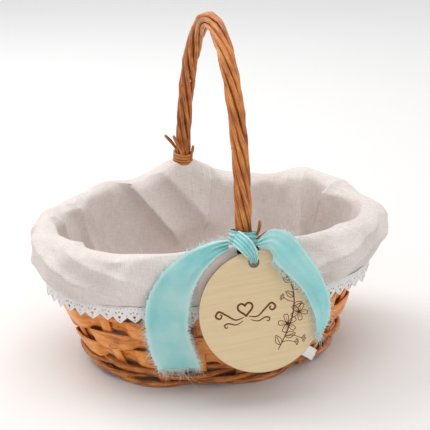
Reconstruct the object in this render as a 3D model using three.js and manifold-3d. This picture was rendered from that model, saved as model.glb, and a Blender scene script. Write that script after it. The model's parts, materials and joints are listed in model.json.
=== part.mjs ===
// A flower girl basket: an oval splint basket on a foot of willow rods, with a twisted rod handle,
// a linen lining turned out over the rim, a lace edging, a chiffon ribbon and a round wooden tag.
// Millimetres, +Z up. The origin is the middle of the base's underside, X runs along the basket's
// length, and the tag hangs on the -Y side.
import * as THREE from "three";
import { mergeVertices } from "three/addons/utils/BufferGeometryUtils.js";
import Module from "manifold-3d";

const wasm = await Module();
wasm.setup();

// ---------------------------------------------------------------- driving dimensions
const clearance = 0.4; // between pieces that touch on the real basket

const wall = {
  footHalfLength: 106,
  footHalfWidth: 81.5,
  rimHalfLength: 144.5,
  rimHalfWidth: 91.5,
  height: 118,
  flareCurve: 1.7, // above 1 the wall flares most near the foot
  fullness: 0.02, // how far the oval is fuller than an ellipse between its axes
};
const upright = { count: 18, width: 9, thickness: 2.4, bottom: 1 };
const footRod = { count: 4, radius: 2.2, gap: 0.4 };
const weaver = { rows: 6, height: 13.2, thickness: 2.2, gap: 1.4 };
const hoop = { height: 10.4, thickness: 3 };
const slat = { width: 12, thickness: 2.2, longCount: 5, crossCount: 7, space: 10, gap: 0.6 };
const handle = {
  inset: 3.5, // from the rim's middle to the arch's feet
  rise: 177, // from the rim to the middle of the arch
  coreRadius: 2.4,
  tongue: 6, // how far above the rim the flat tongue has turned into the round core
  strands: 7,
  strandRadius: 1.9,
  turns: 2.4,
  steps: 34,
  frontFoot: 10, // heights above the rim at which the twisted strands end
  backFoot: 30,
};
const binding = { rodRadius: 1.2, turns: 4, pitch: 3, frontBottom: 7, backBottom: 29 };
const lining = {
  thickness: 1.6,
  crest: 9, // above the rim
  crestReach: 4.6, // from the middle of the wall out to the crest
  overhang: 11.5, // from the middle of the wall out to the face of the part turned down
  hem: 36, // below the rim
  hemReach: 9.5, // from the middle of the wall out to the face of the hem
  backRise: 15, // how far the cloth stands higher round the back foot of the handle
  backRiseSpread: 0.42, // radians
  slitDepth: 16,
  frontSlitGap: 4.8, // on each side of the ribbon's wrap
  backSlitGap: 2.5, // on each side of the handle's tongue
};
const lace = { height: 12, thickness: 1 };
const tag = {
  radius: 50,
  thickness: 3,
  holeRadius: 4.2,
  holeInset: 9, // from the edge to the middle of the hole
  holeAside: 1,
  holeOut: 6, // from the face of the lining out to the hole
  holeRise: 3, // above the rim
  lean: 12, // degrees that the face tips up
  yaw: -8, // degrees that the face turns from the basket's front
  turn: 6, // degrees that the disc hangs turned in its own plane
};
const ribbon = {
  tailHalfWidth: 20,
  thickness: 1.2,
  wrapHeight: 13,
  wrapRise: 14, // above the rim
  strandWidth: 6,
  strandThickness: 1.6,
};
const tie = { width: 10, thickness: 0.9 };

// ---------------------------------------------------------------- helpers
const radians = THREE.MathUtils.degToRad;
const vector = (x, y, z) => new THREE.Vector3(x, y, z);

function volumeOf(geometry) {
  const position = geometry.getAttribute("position");
  const index = geometry.index.array;
  const [a, b, c] = [vector(), vector(), vector()];
  let sum = 0;
  for (let i = 0; i < index.length; i += 3) {
    a.fromBufferAttribute(position, index[i]);
    b.fromBufferAttribute(position, index[i + 1]);
    c.fromBufferAttribute(position, index[i + 2]);
    sum += a.dot(b.cross(c)) / 6;
  }
  return sum;
}

// A closed surface through rings that all have the same number of points. A closed loft runs back to
// its first ring, and an open one is capped by a fan over each end ring.
function loft(rings, closed) {
  const size = rings[0].length;
  const points = rings.flat();
  const index = [];
  const last = closed ? rings.length : rings.length - 1;
  for (let i = 0; i < last; i++) {
    const here = i * size;
    const next = ((i + 1) % rings.length) * size;
    for (let j = 0; j < size; j++) {
      const k = (j + 1) % size;
      index.push(here + j, next + j, next + k, here + j, next + k, here + k);
    }
  }
  if (!closed) {
    const end = (rings.length - 1) * size;
    for (let j = 1; j < size - 1; j++) {
      index.push(0, j, j + 1, end, end + j + 1, end + j);
    }
  }
  const geometry = new THREE.BufferGeometry().setFromPoints(points).setIndex(index);
  if (volumeOf(geometry) < 0) {
    geometry.setIndex(index.reverse());
  }
  return geometry;
}

// The corners of a section with the given half sizes, in the plane of two unit vectors.
const box = (middle, across, halfAcross, up, halfUp) =>
  [[1, 1], [-1, 1], [-1, -1], [1, -1]].map(([i, j]) =>
    middle.clone().addScaledVector(across, i * halfAcross).addScaledVector(up, j * halfUp),
  );

const roundSection = (middle, across, up, radiusAcross, radiusUp, sides) =>
  Array.from({ length: sides }, (_, i) => {
    const angle = ((i + 0.5) / sides) * 2 * Math.PI;
    return middle
      .clone()
      .addScaledVector(across, Math.cos(angle) * radiusAcross)
      .addScaledVector(up, Math.sin(angle) * radiusUp);
  });

function solidOf(geometry) {
  const bare = new THREE.BufferGeometry().setAttribute("position", geometry.getAttribute("position"));
  if (geometry.index) {
    bare.setIndex(geometry.index);
  }
  const merged = mergeVertices(bare, 1e-4);
  return new wasm.Manifold(
    new wasm.Mesh({
      numProp: 3,
      vertProperties: merged.getAttribute("position").array,
      triVerts: new Uint32Array(merged.index.array),
    }),
  );
}

function geometryOf(solid) {
  const mesh = solid.getMesh();
  return new THREE.BufferGeometry()
    .setAttribute("position", new THREE.BufferAttribute(mesh.vertProperties, 3))
    .setIndex(new THREE.BufferAttribute(mesh.triVerts, 1));
}

const colours = {
  splint: 0xc07a3c,
  willow: 0xb8732f,
  linen: 0xe6deda,
  lace: 0xf2f0ee,
  chiffon: 0x8fd3d2,
  plywood: 0xcdb486,
  tape: 0xf0efed,
};
const materials = Object.fromEntries(
  Object.entries(colours).map(([name, color]) => [
    name,
    new THREE.MeshStandardMaterial({ color, roughness: 0.75, metalness: 0 }),
  ]),
);
const basket = new THREE.Group();

function add(name, geometry, material) {
  const mesh = new THREE.Mesh(geometry, materials[material]);
  mesh.name = name;
  basket.add(mesh);
  return mesh;
}

// ---------------------------------------------------------------- the oval wall
const climb = (z) => 1 - (1 - Math.min(z / wall.height, 1)) ** wall.flareCurve;
const halfLengthAt = (z) => THREE.MathUtils.lerp(wall.footHalfLength, wall.rimHalfLength, climb(z));
const halfWidthAt = (z) => THREE.MathUtils.lerp(wall.footHalfWidth, wall.rimHalfWidth, climb(z));

function ovalPoint(angle, halfLength, halfWidth) {
  const full = 1 + wall.fullness * Math.sin(2 * angle) ** 2;
  return vector(halfLength * Math.cos(angle) * full, halfWidth * Math.sin(angle) * full, 0);
}

function outwards(angle, z) {
  const step = 1e-3;
  const before = ovalPoint(angle - step, halfLengthAt(z), halfWidthAt(z));
  const after = ovalPoint(angle + step, halfLengthAt(z), halfWidthAt(z));
  const along = after.sub(before).normalize();
  return vector(along.y, -along.x, 0);
}

// A point of the wall at a height, moved outwards from the wall's middle surface.
function wallPoint(angle, z, offset) {
  const point = ovalPoint(angle, halfLengthAt(z), halfWidthAt(z));
  return point.addScaledVector(outwards(angle, z), offset).setZ(z);
}

// Angles at equal distances round the wall at half its height, counted from the +X end.
const evenAngles = (() => {
  const fine = 1440;
  const lengths = [0];
  let before = wallPoint(0, wall.height / 2, 0);
  for (let i = 1; i <= fine; i++) {
    const here = wallPoint((i / fine) * 2 * Math.PI, wall.height / 2, 0);
    lengths.push(lengths[i - 1] + here.distanceTo(before));
    before = here;
  }
  return (share) => {
    const wanted = (share - Math.floor(share)) * lengths[fine];
    const i = lengths.findIndex((length) => length > wanted);
    return ((i - 1 + (wanted - lengths[i - 1]) / (lengths[i] - lengths[i - 1])) / fine) * 2 * Math.PI;
  };
})();
const girth = (() => {
  let sum = 0;
  for (let i = 0; i < 720; i++) {
    const a = wallPoint((i / 360) * Math.PI, wall.height / 2, 0);
    sum += a.distanceTo(wallPoint(((i + 1) / 360) * Math.PI, wall.height / 2, 0));
  }
  return sum;
})();

// The uprights stand half a space off the +X end, so that one falls at the middle of each long side.
const uprightShare = (i) => (i + 0.5) / upright.count;
const frontUpright = Math.round(0.75 * upright.count - 0.5);
const backUpright = Math.round(0.25 * upright.count - 0.5);

// Shares at which the pieces that run round the wall have their corners: both sides of each upright,
// and the middle of the space after it. Pieces with the same corners keep their distance all round.
const flatShare = (upright.width / 2 + 1.2) / girth;
const corners = Array.from({ length: upright.count }, (_, i) => [
  uprightShare(i) - flatShare,
  uprightShare(i) + flatShare,
  uprightShare(i + 0.5),
]).flat();
const cornerAngles = corners.map(evenAngles);

// Heights of the rows' edges, from the top of the foot upwards.
const footPitch = 2 * footRod.radius + footRod.gap;
const rowEdge = (row) => footRod.count * footPitch + row * (weaver.height + weaver.gap);

// ---------------------------------------------------------------- uprights, weavers and foot
const uprightHeights = [upright.bottom, 10, ...Array(weaver.rows + 1).keys().map(rowEdge), wall.height];

function addStakes() {
  let number = 0;
  for (let i = 0; i < upright.count; i++) {
    if (i === frontUpright || i === backUpright) {
      continue; // the handle's tongues stand here
    }
    const angle = evenAngles(uprightShare(i));
    const rings = uprightHeights.map((z) => {
      const out = outwards(angle, z);
      const along = vector(-out.y, out.x, 0);
      return box(wallPoint(angle, z, 0), out, upright.thickness / 2, along, upright.width / 2);
    });
    number += 1;
    add(`stake_${String(number).padStart(2, "0")}`, loft(rings, false), "splint");
  }
}

const sway = upright.thickness / 2 + weaver.thickness / 2 + clearance;
const weaverFace = sway + weaver.thickness / 2;

// A row runs flat over each upright, outside one and inside the next, and crosses the wall between.

// A strip standing on edge round the wall, between two heights and two distances from its middle.
const strip = (angle, low, high, inside, outside) => [
  wallPoint(angle, low, inside),
  wallPoint(angle, low, outside),
  wallPoint(angle, high, outside),
  wallPoint(angle, high, inside),
];

function addWeavers() {
  const half = weaver.thickness / 2;
  for (let row = 0; row < weaver.rows; row++) {
    const low = rowEdge(row) + weaver.gap / 2;
    const rings = cornerAngles.map((angle, i) => {
      const side = (Math.floor(i / 3) + row) % 2 ? sway : -sway;
      const offset = i % 3 === 2 ? 0 : side;
      return strip(angle, low, low + weaver.height, offset - half, offset + half);
    });
    add(`weaver_${row + 1}`, loft(rings, true), "splint");
  }
}

// Each rod of the foot passes outside two uprights and inside the third, one upright on from the
// rod below it. Where the wall leans, a rod needs more room beside an upright.
const lean = (wall.rimHalfLength - wall.footHalfLength) * (wall.flareCurve / wall.height);
const rodSway = (upright.thickness / 2 + (footRod.radius + clearance) * Math.hypot(1, lean)) + 0.2;

function addFootRods() {
  for (let rod = 0; rod < footRod.count; rod++) {
    const z = footRod.radius + rod * footPitch;
    const rings = [];
    for (let i = 0; i < upright.count; i++) {
      const side = (i + rod) % 3 ? rodSway : -rodSway;
      const reach = flatShare * (side < 0 ? 1 : 1.15);
      for (const share of [uprightShare(i) - reach, uprightShare(i) + reach]) {
        const angle = evenAngles(share);
        const out = outwards(angle, z);
        const middle = wallPoint(angle, z, side);
        rings.push(roundSection(middle, out, vector(0, 0, 1), footRod.radius, footRod.radius, 6));
      }
    }
    add(`foot_rod_${rod + 1}`, loft(rings, true), "willow");
  }
}

function addHoops() {
  const low = wall.height - hoop.height;
  const near = upright.thickness / 2 + clearance;
  const far = near + hoop.thickness;
  for (const [name, inside, outside] of [
    ["rim_hoop_outer", near, far],
    ["rim_hoop_inner", -far, -near],
  ]) {
    const rings = cornerAngles.map((angle) => strip(angle, low, wall.height, inside, outside));
    add(name, loft(rings, true), "splint");
  }
}

// ---------------------------------------------------------------- base
function addBase() {
  const inset = rodSway + footRod.radius + 2 * clearance;
  const reach = (half, across, other) =>
    half * Math.sqrt(1 - ((Math.abs(across) + slat.width / 2) / other) ** 2);
  const halfLength = wall.footHalfLength - inset;
  const halfWidth = wall.footHalfWidth - inset;
  const low = slat.thickness / 2;
  const level = slat.thickness + slat.gap; // from one layer's middle to the next one's
  const place = (i, count) => (i - (count - 1) / 2) * (slat.width + slat.space);
  const section = (middle, across) => box(middle, across, slat.width / 2, vector(0, 0, 1), slat.thickness / 2);
  for (let j = 0; j < slat.longCount; j++) {
    const y = place(j, slat.longCount);
    const end = reach(halfLength, y, halfWidth);
    const rings = [-end, end].map((x) => section(vector(x, y, low + level), vector(0, 1, 0)));
    add(`base_slat_long_${j + 1}`, loft(rings, false), "splint");
  }
  for (let i = 0; i < slat.crossCount; i++) {
    const x = place(i, slat.crossCount);
    const end = reach(halfWidth, x, halfLength);
    const rings = [];
    for (let j = 0; j < slat.longCount; j++) {
      const y = place(j, slat.longCount);
      const z = (i + j) % 2 ? low : low + 2 * level;
      const flat = slat.width / 2 + 2 * clearance;
      if (y + flat > -end && y - flat < end) {
        for (const at of [y - flat, y + flat]) {
          const inside = THREE.MathUtils.clamp(at, -end, end);
          rings.push(section(vector(x, inside, z), vector(1, 0, 0)));
        }
      }
    }
    add(`base_slat_cross_${i + 1}`, loft(rings, false), "splint");
  }
}

// ---------------------------------------------------------------- handle
// Half an ellipse that stands on the rim: 0 is its front foot and 1 its back foot.
const halfSpan = wall.rimHalfWidth - handle.inset;

class Arch extends THREE.Curve {
  getPoint(t, target = new THREE.Vector3()) {
    const angle = t * Math.PI;
    return target.set(0, -halfSpan * Math.cos(angle), wall.height + handle.rise * Math.sin(angle));
  }
}
const arch = new Arch();
const archLengths = arch.getLengths(720);

function archFrame(t) {
  const along = arch.getTangent(t);
  const side = vector(1, 0, 0);
  return { middle: arch.getPoint(t), along, side, inwards: side.clone().cross(along) };
}

// Where on the arch it has reached a height, on its front leg or its back leg.
function archAtHeight(z, onBack) {
  const t = Math.asin((z - wall.height) / handle.rise) / Math.PI;
  return onBack ? 1 - t : t;
}

function addHandle() {
  const core = [];
  const side = vector(1, 0, 0);
  const tongue = (angle, z) => {
    const half = upright.thickness / 2 / Math.cos(Math.PI / 8);
    return roundSection(wallPoint(angle, z, 0), side, outwards(angle, z), upright.width / 2, half, 8);
  };
  const neck = archAtHeight(wall.height + handle.tongue, false);
  for (const z of uprightHeights) {
    core.push(tongue(-Math.PI / 2, z));
  }
  for (let i = 0; i <= handle.steps; i++) {
    const { middle, inwards } = archFrame(neck + (1 - 2 * neck) * (i / handle.steps));
    core.push(roundSection(middle, side, inwards.negate(), handle.coreRadius, handle.coreRadius, 8));
  }
  for (const z of uprightHeights.toReversed()) {
    core.push(tongue(Math.PI / 2, z));
  }
  add("handle_core", loft(core, false), "willow");

  const start = archAtHeight(wall.height + handle.frontFoot, false);
  const end = archAtHeight(wall.height + handle.backFoot, true);
  const circle = handle.coreRadius + clearance + handle.strandRadius + 0.2;
  for (let strand = 0; strand < handle.strands; strand++) {
    const rings = [];
    for (let i = 0; i <= handle.steps; i++) {
      const t = start + (end - start) * (i / handle.steps);
      const { middle, inwards } = archFrame(t);
      const share = archLengths[Math.round(t * 720)] / archLengths[720];
      const angle = 2 * Math.PI * (handle.turns * share + strand / handle.strands);
      const [cos, sin] = [Math.cos(angle), Math.sin(angle)];
      const out = inwards.clone().multiplyScalar(cos).addScaledVector(side, -sin);
      const round = inwards.clone().multiplyScalar(sin).addScaledVector(side, cos);
      const place = middle.addScaledVector(out, circle);
      rings.push(roundSection(place, out, round, handle.strandRadius, handle.strandRadius, 5));
    }
    add(`handle_strand_${strand + 1}`, loft(rings, false), "willow");
  }

  const bundle = circle + handle.strandRadius;
  const coil = (bundle + clearance + binding.rodRadius) / Math.cos(Math.PI / 12);
  for (const [name, bottom, back] of [
    ["handle_binding_front", binding.frontBottom, false],
    ["handle_binding_back", binding.backBottom, true],
  ]) {
    const rings = [];
    for (let i = 0; i <= 12 * binding.turns; i++) {
      const turn = i / 12;
      const z = wall.height + bottom + binding.pitch * turn;
      const { middle, inwards } = archFrame(archAtHeight(z, back));
      const angle = 2 * Math.PI * turn;
      const out = inwards.multiplyScalar(Math.cos(angle)).addScaledVector(side, Math.sin(angle));
      const place = middle.addScaledVector(out, coil);
      rings.push(roundSection(place, out, vector(0, 0, 1), binding.rodRadius, binding.rodRadius, 5));
    }
    add(name, loft(rings, false), "willow");
  }
  return coil + binding.rodRadius;
}

// ---------------------------------------------------------------- lining and lace
// The cloth stands higher round the back foot of the handle.
const crestRise = (angle) =>
  lining.backRise * Math.exp(-(((angle - Math.PI / 2) / lining.backRiseSpread) ** 2));

// Points of the lining's side panel, as distances outwards from the wall's middle and heights. The
// face that shows runs from the bottom up the inside, over the rim and down to the hem.
const crest = wall.height + lining.crest;
const hem = wall.height - lining.hem;
const liningBottom = 3 * slat.thickness + 2 * slat.gap + 3 * clearance;
const insideFace = -(upright.thickness / 2 + clearance + hoop.thickness + clearance);
const footFace = -(rodSway + footRod.radius + 2 * clearance);
const facing = [
  [footFace - lining.thickness, liningBottom + lining.thickness + clearance],
  [footFace - lining.thickness, rowEdge(0) + 1],
  [insideFace - lining.thickness, wall.height / 2],
  [insideFace - lining.thickness, wall.height],
  [insideFace, crest - 4],
  [lining.crestReach - 5.6, crest - 0.8],
  [lining.crestReach, crest],
  [(lining.crestReach + lining.overhang) / 2 + 0.8, crest - 2.8],
  [lining.overhang, crest - 11],
  [lining.overhang - 1, (crest + hem) / 2 - 5],
  [lining.hemReach, hem],
];

function addLining(wrapRadius) {
  const inner = facing.map(([offset, z], i) => {
    const before = facing[Math.max(i - 1, 0)];
    const after = facing[Math.min(i + 1, facing.length - 1)];
    const run = Math.hypot(after[0] - before[0], after[1] - before[1]);
    const end = i === 0 || i === facing.length - 1 ? 0 : 1;
    return [
      offset + ((after[1] - before[1]) / run) * lining.thickness,
      z - ((after[0] - before[0]) / run) * lining.thickness * end,
    ];
  });
  const ringOf = ([offset, z]) =>
    cornerAngles.map((angle) => {
      const rise = crestRise(angle) * THREE.MathUtils.smoothstep(z, wall.height / 2, crest);
      return wallPoint(angle, z, offset).setZ(z + rise);
    });
  const rings = [...facing, ...inner.toReversed()].map(ringOf);
  let cloth = solidOf(loft(rings, true));
  const tall = lining.slitDepth + 2 * lining.backRise;
  for (const [y, half] of [
    [-halfSpan, wrapRadius + lining.frontSlitGap],
    [halfSpan, upright.width / 2 + lining.backSlitGap],
  ]) {
    const slit = new THREE.BoxGeometry(2 * half, 70, tall);
    slit.translate(0, y, crest - lining.slitDepth + tall / 2);
    cloth = cloth.subtract(solidOf(slit));
  }
  add("lining_side", geometryOf(cloth), "linen");

  const top = liningBottom + lining.thickness;
  const disc = [[0.05, top], [1, top], [1, liningBottom], [0.05, liningBottom]].map(([share, z]) =>
    cornerAngles.map((angle) => wallPoint(angle, top, footFace).multiplyScalar(share).setZ(z)),
  );
  add("lining_bottom", loft(disc, false), "linen");
}

function addLace() {
  const top = hem - clearance;
  const inside = lining.hemReach - 1.5 * lace.thickness;
  const outside = inside + lace.thickness;
  const rings = cornerAngles.map((angle) => strip(angle, top - lace.height, top, inside, outside));
  add("lace_edging", loft(rings, true), "lace");
}

// ---------------------------------------------------------------- tag
const tagFace = vector(
  Math.sin(radians(tag.yaw)) * Math.cos(radians(tag.lean)),
  -Math.cos(radians(tag.yaw)) * Math.cos(radians(tag.lean)),
  Math.sin(radians(tag.lean)),
);
const tagRight = vector(Math.cos(radians(tag.yaw)), Math.sin(radians(tag.yaw)), 0);
const tagUp = tagFace.clone().cross(tagRight);
const tagHole = vector(
  tag.holeAside,
  -wall.rimHalfWidth - lining.overhang - tag.holeOut,
  wall.height + tag.holeRise,
);

// A point given by its distances from the tag's hole: to the right, up, and out from its face.
const onTag = (right, up, out) =>
  tagHole
    .clone()
    .addScaledVector(tagRight, right)
    .addScaledVector(tagUp, up)
    .addScaledVector(tagFace, out);

function addTag() {
  const middle = tag.holeInset - tag.radius;
  const outline = new THREE.Shape().absarc(0, middle, tag.radius, 0, 2 * Math.PI, false);
  outline.holes.push(new THREE.Path().absarc(0, 0, tag.holeRadius, 0, 2 * Math.PI, true));
  const disc = new THREE.ExtrudeGeometry(outline, {
    depth: tag.thickness,
    bevelEnabled: false,
    curveSegments: 40,
  });
  disc.translate(0, 0, -tag.thickness / 2);
  disc.rotateZ(radians(tag.turn));
  const mesh = add("name_tag", disc, "plywood");
  const place = new THREE.Matrix4().makeBasis(tagRight, tagUp, tagFace).setPosition(tagHole);
  mesh.applyMatrix4(place);
}

// ---------------------------------------------------------------- ribbon and tie
// A band of cloth along hand-placed middles, each with its width direction and half width.
function band(stations, thickness) {
  const curve = new THREE.CatmullRomCurve3(stations.map((station) => station.middle));
  const rings = stations.map(({ middle, across, half }, i) => {
    const along = curve.getTangent(i / (stations.length - 1));
    const width = across.clone().addScaledVector(along, -across.dot(along)).normalize();
    const out = along.clone().cross(width).normalize();
    return box(middle, width, half, out, thickness / 2);
  });
  return loft(rings, false);
}

function addRibbon(bindingRadius) {
  const { middle } = archFrame(archAtHeight(wall.height + ribbon.wrapRise, false));
  const inside = (bindingRadius + clearance) / Math.cos(Math.PI / 16);
  const wrap = Array.from({ length: 16 }, (_, i) => {
    const angle = (i / 16) * 2 * Math.PI;
    const out = vector(Math.cos(angle), Math.sin(angle), 0);
    const place = middle.clone().addScaledVector(out, inside + ribbon.thickness / 2);
    return box(place, out, ribbon.thickness / 2, vector(0, 0, 1), ribbon.wrapHeight / 2);
  });
  add("ribbon_wrap", loft(wrap, true), "chiffon");

  // The strand comes down in front of the tag's edge, through the hole and up behind it.
  const face = tag.thickness / 2 + clearance + ribbon.strandThickness / 2;
  const strand = [
    [-4, tag.holeInset + 2.5, face + 1.5],
    [-2, tag.holeInset - 1, face + 1],
    [-0.6, 4, face + 0.7],
    [0, 1, face - 0.6],
    [0, -0.4, 0],
    [0, 1, -face + 0.6],
    [0, 4, -face],
    [0, tag.holeInset - 0.5, -face],
  ].map(([right, up, out]) => ({
    middle: onTag(right, up, out),
    across: tagRight,
    half: ribbon.strandWidth / 2,
  }));
  add("ribbon_strand", band(strand, ribbon.strandThickness), "chiffon");

  // The right tail lies in front of the disc: distances from its hole, half widths and turns.
  const front = tag.thickness / 2 + 2;
  const right = [
    [8, 16, 4, 3.5, 90],
    [16, 17.5, 5.5, 8, 88],
    [28, 11, 6, 12.5, 55],
    [39, -4, 5, 12.5, 38],
    [48, -20, 4, 10, 25],
    [54, -36, 4, 8, 12],
    [57, -53, 4, 6.5, 5],
    [58, -63, 4, 5, 5],
  ].map(([along, up, out, half, angle]) => ({
    middle: onTag(along, up, front + out),
    across: tagRight.clone().multiplyScalar(Math.cos(radians(angle)))
      .addScaledVector(tagUp, Math.sin(radians(angle))),
    half,
  }));
  add("ribbon_tail_right", band(right, ribbon.thickness), "chiffon");

  // The left tail lies on the cloth: angles round the wall, heights above the rim, distances from the
  // wall's middle, shares of the full width, and how far the width turns out of level.
  const left = [
    [-1.68, 15.5, lining.overhang - 7.5, 0.2, 90],
    [-1.76, 14.5, lining.overhang + 1, 0.35, 80],
    [-1.86, 5, lining.overhang + 2.9, 0.65, 55],
    [-1.96, -12, lining.overhang + 2.6, 0.95, 34],
    [-2.03, -32, lining.overhang + 2, 1, 14],
    [-2.055, -52, lining.overhang + 1.5, 1, 2],
    [-2.045, -72, lining.overhang + 1.5, 1, -6],
    [-2.02, -90, lining.overhang + 2.5, 1, -6],
  ].map(([angle, rise, offset, share, tilt]) => {
    const z = wall.height + rise;
    const out = outwards(angle, z);
    const along = vector(-out.y, out.x, 0);
    return {
      middle: wallPoint(angle, z, offset),
      across: along.multiplyScalar(Math.cos(radians(tilt))).setZ(Math.sin(radians(tilt))),
      half: share * ribbon.tailHalfWidth,
    };
  });
  add("ribbon_tail_left", band(left, ribbon.thickness), "chiffon");
}

function addTie() {
  const stations = [
    [-1.2, 52],
    [-1.12, 42],
    [-1.04, 32],
    [-0.96, 24],
    [-0.885, 17],
  ].map(([angle, z]) => {
    const offset = rodSway + footRod.radius + 3 * clearance + tie.thickness;
    const out = outwards(angle, z);
    return {
      middle: wallPoint(angle, z, offset),
      across: vector(-out.y, out.x, 1).normalize(),
      half: tie.width / 2,
    };
  });
  add("lining_tie", band(stations, tie.thickness), "tape");
}

addStakes();
addWeavers();
addFootRods();
addHoops();
addBase();
const bindingRadius = addHandle();
const wrapRadius = bindingRadius + clearance + ribbon.thickness;
addLining(wrapRadius);
addLace();
addTag();
addRibbon(bindingRadius);
addTie();

export default basket;
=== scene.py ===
import json
import bpy
import numpy as np
from mathutils import Matrix, Vector


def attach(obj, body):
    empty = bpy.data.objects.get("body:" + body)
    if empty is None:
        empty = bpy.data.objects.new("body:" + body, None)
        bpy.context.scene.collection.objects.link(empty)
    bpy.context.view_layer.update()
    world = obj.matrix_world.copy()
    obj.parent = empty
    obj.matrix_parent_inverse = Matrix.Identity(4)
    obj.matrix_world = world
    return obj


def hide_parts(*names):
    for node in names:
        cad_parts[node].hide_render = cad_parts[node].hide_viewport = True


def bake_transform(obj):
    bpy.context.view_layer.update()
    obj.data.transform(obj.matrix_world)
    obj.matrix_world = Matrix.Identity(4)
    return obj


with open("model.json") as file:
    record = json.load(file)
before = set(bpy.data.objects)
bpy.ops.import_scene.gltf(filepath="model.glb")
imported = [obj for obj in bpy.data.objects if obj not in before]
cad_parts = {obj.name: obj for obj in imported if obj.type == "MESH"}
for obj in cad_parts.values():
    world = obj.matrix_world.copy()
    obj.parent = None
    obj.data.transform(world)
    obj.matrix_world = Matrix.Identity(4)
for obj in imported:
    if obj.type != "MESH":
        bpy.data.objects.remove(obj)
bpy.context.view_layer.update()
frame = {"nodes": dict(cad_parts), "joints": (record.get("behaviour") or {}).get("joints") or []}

scene = bpy.context.scene
nodes = frame["nodes"]
pi = np.pi
mm = 0.001  # every shape below is worked out in millimetres
print("frame loaded:", len(nodes), "nodes")


def grow(points, *, name, finish, closeRows=False, closeCols=False, capEnds=False, keep=None, uv=None):
    # A grid of points, rows x columns x 3, made into quads between neighbours. Closed directions
    # join the last line to the first, capped ends get one face each, and keep drops quads.
    # uv is a pair of grids with one line more in each closed direction.
    rows, cols = points.shape[:2]
    i, j = np.meshgrid(np.arange(rows if closeRows else rows - 1),
                       np.arange(cols if closeCols else cols - 1), indexing="ij")
    if keep is not None:
        i, j = i[keep], j[keep]
    i, j = i.ravel(), j.ravel()
    up, on = (i + 1) % rows, (j + 1) % cols
    quads = np.stack([i * cols + j, up * cols + j, up * cols + on, i * cols + on], axis=1)
    mesh = bpy.data.meshes.new(name)
    ends = [list(range(cols)), list(range((rows - 1) * cols, rows * cols))[::-1]] if capEnds else []
    mesh.from_pydata((points.reshape(-1, 3) * mm).tolist(), [], quads.tolist() + ends)
    if uv is not None:
        across, along = uv
        corners = np.stack([
            np.stack([grid[a, b] for grid in (across, along)], axis=-1)
            for a, b in ((i, j), (i + 1, j), (i + 1, j + 1), (i, j + 1))
        ], axis=1).reshape(-1, 2)
        spare = sum(len(end) for end in ends)
        flat = np.concatenate([corners, np.zeros((spare, 2))])
        mesh.uv_layers.new(name="cloth").data.foreach_set("uv", flat.ravel().astype(np.float32))
    mesh.shade_smooth()
    return addObject(mesh, name, finish)


def addObject(mesh, name, finish):
    mesh.materials.append(finish)
    piece = bpy.data.objects.new(name, mesh)  # at the origin, its place is in its mesh
    scene.collection.objects.link(piece)
    return piece


def outward(piece):
    # Turns a closed piece's faces to point out, if its signed volume is negative.
    mesh = piece.data
    mesh.calc_loop_triangles()
    corner = np.empty(len(mesh.vertices) * 3)
    mesh.vertices.foreach_get("co", corner)
    index = np.empty(len(mesh.loop_triangles) * 3, dtype=np.int64)
    mesh.loop_triangles.foreach_get("vertices", index)
    a, b, c = corner.reshape(-1, 3)[index].reshape(-1, 3, 3).transpose(1, 0, 2)
    if (a * np.cross(b, c)).sum() < 0:
        mesh.flip_normals()
    return piece


def thicken(piece, thickness, side=0.0):
    # A sheet gets its thickness: side 0 is half on either side, -1 is all on the inner side.
    solid = piece.modifiers.new("thickness", "SOLIDIFY")
    solid.thickness, solid.offset = thickness * mm, side
    return piece


def unit(v):  # vectors at length 1
    return v / np.linalg.norm(v, axis=-1, keepdims=True)


def smoothStep(x, low, high):  # 3 t^2 - 2 t^3 between low and high, 0 and 1 beyond them
    t = np.clip((x - low) / (high - low), 0, 1)
    return t * t * (3 - 2 * t)


def plateau(x, rise, top, edge, fall):  # 0, up to 1 from rise to top, and down again from edge to fall
    return smoothStep(x, rise, top) * (1 - smoothStep(x, edge, fall))


def bell(x, middle, width):  # a Gaussian of height 1
    return np.exp(-((x - middle) / width) ** 2)


def lengthsAlong(path):
    # The distance from the start to each point of a path.
    return np.concatenate([[0], np.cumsum(np.linalg.norm(np.diff(path, axis=0), axis=1))])


def through(stations, count):
    # Catmull-Rom through the stations, each a row of numbers, at evenly spaced parameters.
    p = np.asarray(stations, float)
    p = np.vstack([2 * p[0] - p[1], p, 2 * p[-1] - p[-2]])
    t = np.linspace(0, len(p) - 3 - 1e-9, count)
    k, f = t.astype(int), (t % 1)[:, None]
    a, b, c, d = (p[k + n] for n in range(4))
    return 0.5 * (2 * b + (c - a) * f + (2 * a - 5 * b + 4 * c - d) * f ** 2
                  + (3 * b - a - 3 * c + d) * f ** 3)


def ripple(u, low, high, seed):
    # Waves that close round a turn: cosines of whole wave numbers low to high, of about size 1.
    rng = np.random.default_rng(seed)
    waves = np.arange(low, high + 1)
    size, phase = rng.normal(size=waves.size), rng.uniform(0, 2 * pi, waves.size)
    shape = np.cos(2 * pi * waves * np.asarray(u)[..., None] + phase) * size
    return shape.sum(-1) / np.sqrt(waves.size / 2)


def wrinkles(u, v, waves, seed, count=14):
    # Waves in two directions, closed round u: cosines of (n u + m v) with seeded n, m and phases.
    rng = np.random.default_rng(seed)
    sumOf = np.zeros(np.broadcast(u, v).shape)
    for _ in range(count):
        n, m = rng.integers(-waves[0], waves[0] + 1), rng.uniform(-waves[1], waves[1])
        sumOf += np.cos(2 * pi * (n * u + m * v) + rng.uniform(0, 2 * pi))
    return sumOf / np.sqrt(count / 2)


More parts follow.
